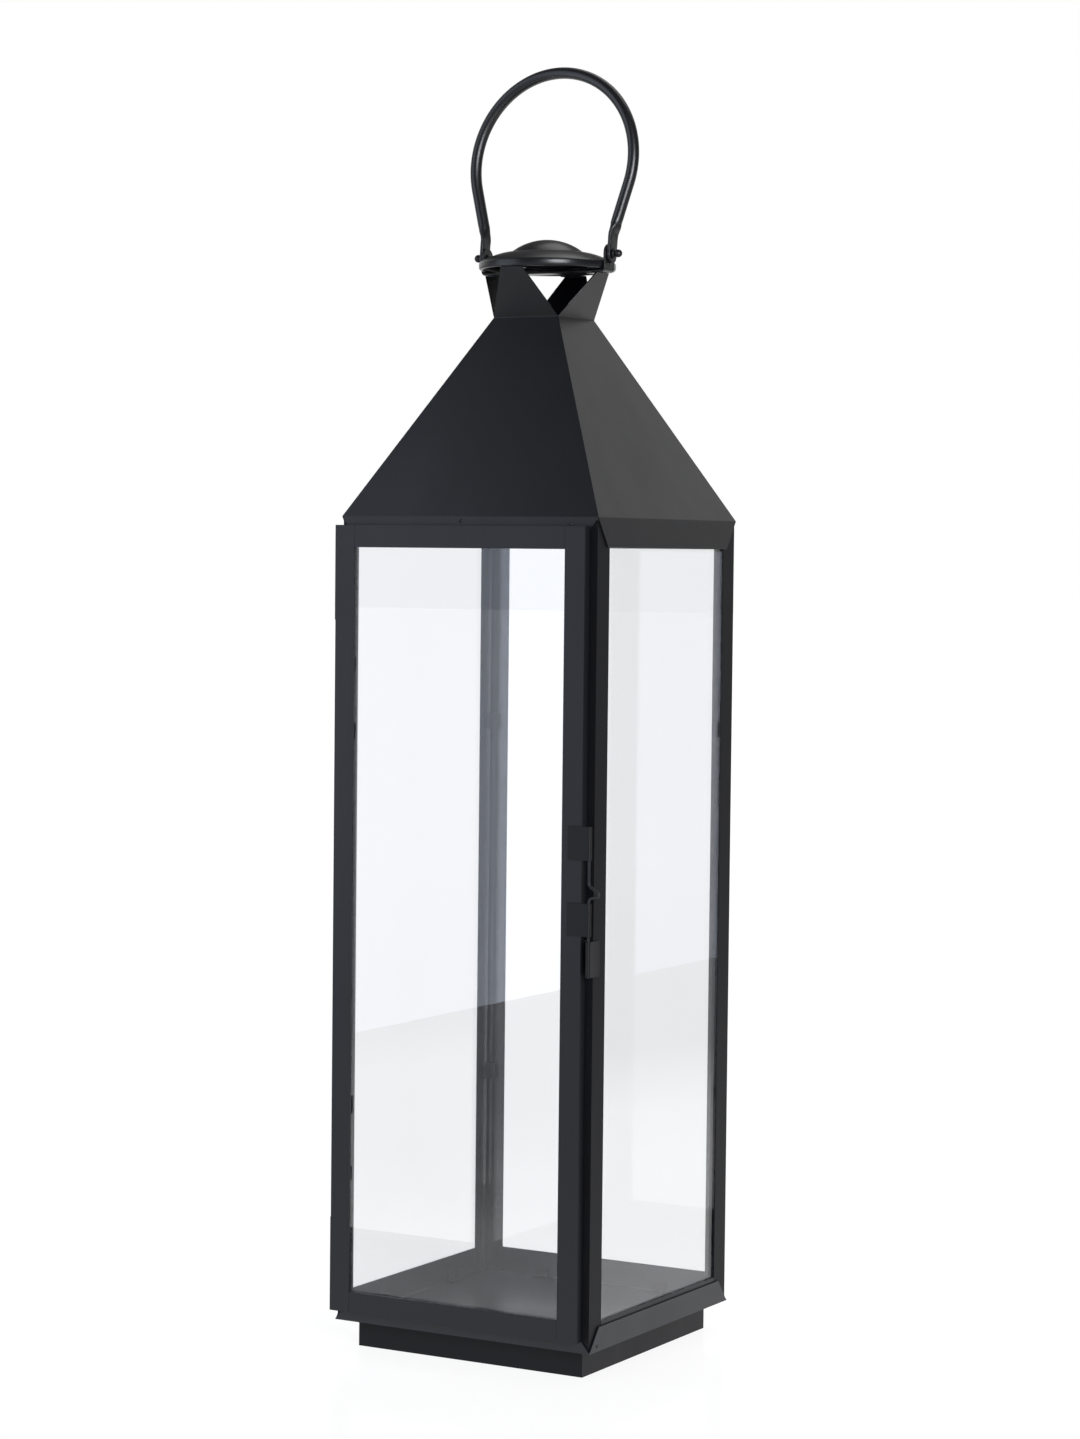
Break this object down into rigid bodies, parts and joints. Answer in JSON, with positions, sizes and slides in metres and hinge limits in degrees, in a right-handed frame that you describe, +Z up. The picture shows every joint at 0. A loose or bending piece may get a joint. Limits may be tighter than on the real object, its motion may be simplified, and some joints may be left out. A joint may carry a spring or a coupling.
{
  "type": "candle lantern",
  "caption": "Tall square glazed candle lantern with a pyramid roof, round vent cap, bail handle, hinged door and sliding wire bolt.",
  "frame": {"origin": "centre of the flat underside of the plinth, on the floor", "axes": "+Z up along the middle of the lantern, the hinged door faces -Y, hinges on the -X side of the door and latch on its +X side"},
  "size_m": [0.2245, 0.2212, 0.9369],
  "materials": {
    "frame": "satin black powder coat",
    "roof": "satin black powder coat",
    "floor": "satin black powder coat",
    "fittings": "semi-gloss black paint",
    "handle": "semi-gloss black paint",
    "glass": "clear polished float glass"
  },
  "bodies": {
    "lantern_body": {"base_plate": "floor", "bracket_strap": "fittings", "cap": "roof", "floor_tab_back_a": "fittings", "floor_tab_back_b": "fittings", "floor_tab_left_a": "fittings", "floor_tab_left_b": "fittings", "floor_tab_right_a": "fittings", "floor_tab_right_b": "fittings", "glass_back": "glass", "glass_clip_back_left_lower": "fittings", "glass_clip_back_left_upper": "fittings", "glass_clip_back_right_lower": "fittings", "glass_clip_back_right_upper": "fittings", "glass_clip_front_left_lower": "fittings", "glass_clip_front_left_upper": "fittings", "glass_clip_front_right_lower": "fittings", "glass_clip_front_right_upper": "fittings", "glass_left": "glass", "glass_right": "glass", "hinge_post_leaf_lower": "frame", "hinge_post_leaf_upper": "frame", "latch_keeper": "fittings", "pivot_rivet_left": "fittings", "pivot_rivet_right": "fittings", "plinth": "frame", "post_back_left": "frame", "post_back_right": "frame", "post_front_left": "frame", "post_front_right": "frame", "roof_panel_back": "roof", "roof_panel_front": "roof", "roof_panel_left": "roof", "roof_panel_right": "roof", "sill_back": "frame", "sill_front": "frame", "sill_left": "frame", "sill_right": "frame"},
    "door": {"door_clip_left_lower": "fittings", "door_clip_left_upper": "fittings", "door_clip_right_lower": "fittings", "door_clip_right_upper": "fittings", "door_glass": "glass", "door_rail_bottom": "frame", "door_rail_top": "frame", "door_stile_left": "frame", "door_stile_right": "frame", "hinge_door_leaf_lower": "frame", "hinge_door_leaf_upper": "frame", "hinge_pin_lower": "fittings", "hinge_pin_upper": "fittings", "latch_sleeve_lower": "fittings", "latch_sleeve_upper": "fittings"},
    "latch_bolt": {"latch_bolt": "fittings"},
    "handle": {"bail_handle": "handle"}
  },
  "joints": [
    {"name": "door_hinge", "type": "hinge", "parent": "lantern_body", "child": "door", "pos_m": [-0.108, -0.107, 0.314], "axis": [0, 0, -1], "range_deg": [0, 175]},
    {"name": "latch_slide", "type": "slide", "parent": "door", "child": "latch_bolt", "axis": [0, 0, 1], "range_m": [0, 0.0145]},
    {"name": "handle_pivot", "type": "hinge", "parent": "lantern_body", "child": "handle", "pos_m": [0.0023, 0, 0.7981], "axis": [1, 0, 0], "range_deg": [-140.5, 153]}
  ]
}
